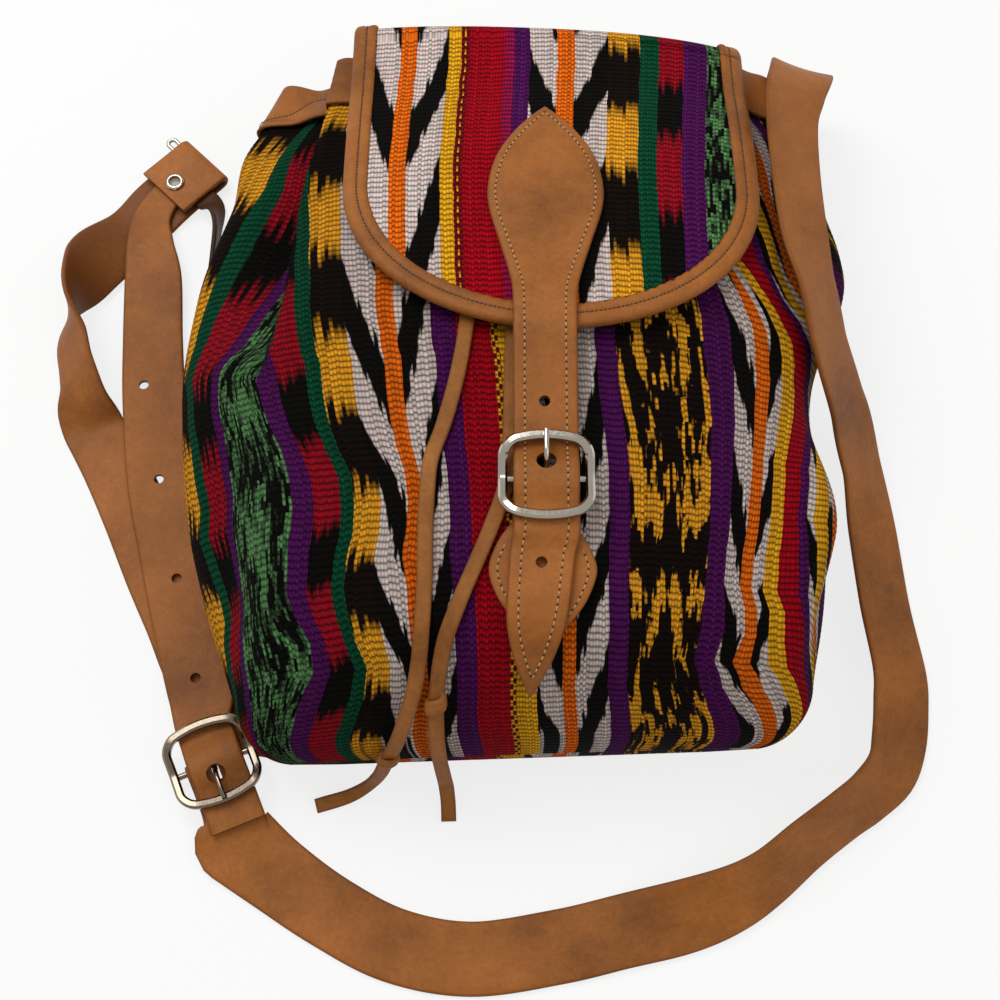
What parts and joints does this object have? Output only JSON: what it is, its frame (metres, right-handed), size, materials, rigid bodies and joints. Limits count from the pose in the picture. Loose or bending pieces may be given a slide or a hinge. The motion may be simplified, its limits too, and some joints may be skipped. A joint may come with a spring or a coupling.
{
  "type": "woven bucket bag with leather straps",
  "caption": "Soft bucket bag of striped handwoven cloth with a leather-bound flap, a buckled closure strap, a thong drawstring and a buckled leather shoulder strap.",
  "frame": {"origin": "on the flat back of the bag, near the middle of the face it lies on", "axes": "+X across the bag's front to the right, +Y from its bottom to its mouth, +Z out of its front, up from the surface it lies on"},
  "size_m": [0.3643, 0.4057, 0.1069],
  "materials": {
    "woven_cloth": "striped handwoven cotton",
    "tan_leather": "vegetable tanned, satin",
    "nickel_plate": "polished nickel plate"
  },
  "bodies": {
    "bag": {"bag_cloth": "woven_cloth", "flap_cloth": "woven_cloth", "leather_collar": "tan_leather", "left_seam_strip": "tan_leather", "right_seam_strip": "tan_leather", "flap_binding": "tan_leather", "closure_strap": "tan_leather", "buckle_patch": "tan_leather", "long_strap": "tan_leather", "holed_strap": "tan_leather", "ring_strap": "tan_leather", "hanger_strip": "tan_leather", "left_drawstring": "tan_leather", "right_drawstring": "tan_leather", "left_drawstring_knot": "tan_leather", "right_drawstring_knot": "tan_leather", "left_drawstring_tail": "tan_leather", "right_drawstring_tail": "tan_leather", "front_buckle_frame": "nickel_plate", "strap_buckle_frame": "nickel_plate", "tab_ring": "nickel_plate", "tab_eyelet": "nickel_plate"},
    "front_prong": {"front_buckle_prong": "nickel_plate"},
    "strap_prong": {"strap_buckle_prong": "nickel_plate"}
  },
  "joints": [
    {"name": "front_prong_hinge", "type": "hinge", "parent": "bag", "child": "front_prong", "pos_m": [0.0118, -0.0765, 0.09807], "axis": [1, 0, 0], "range_deg": [0, 8]},
    {"name": "strap_prong_hinge", "type": "hinge", "parent": "bag", "child": "strap_prong", "pos_m": [-0.1176, -0.1592, 0.0058], "axis": [-0.9232, -0.3843, 0], "range_deg": [0, 8]}
  ]
}
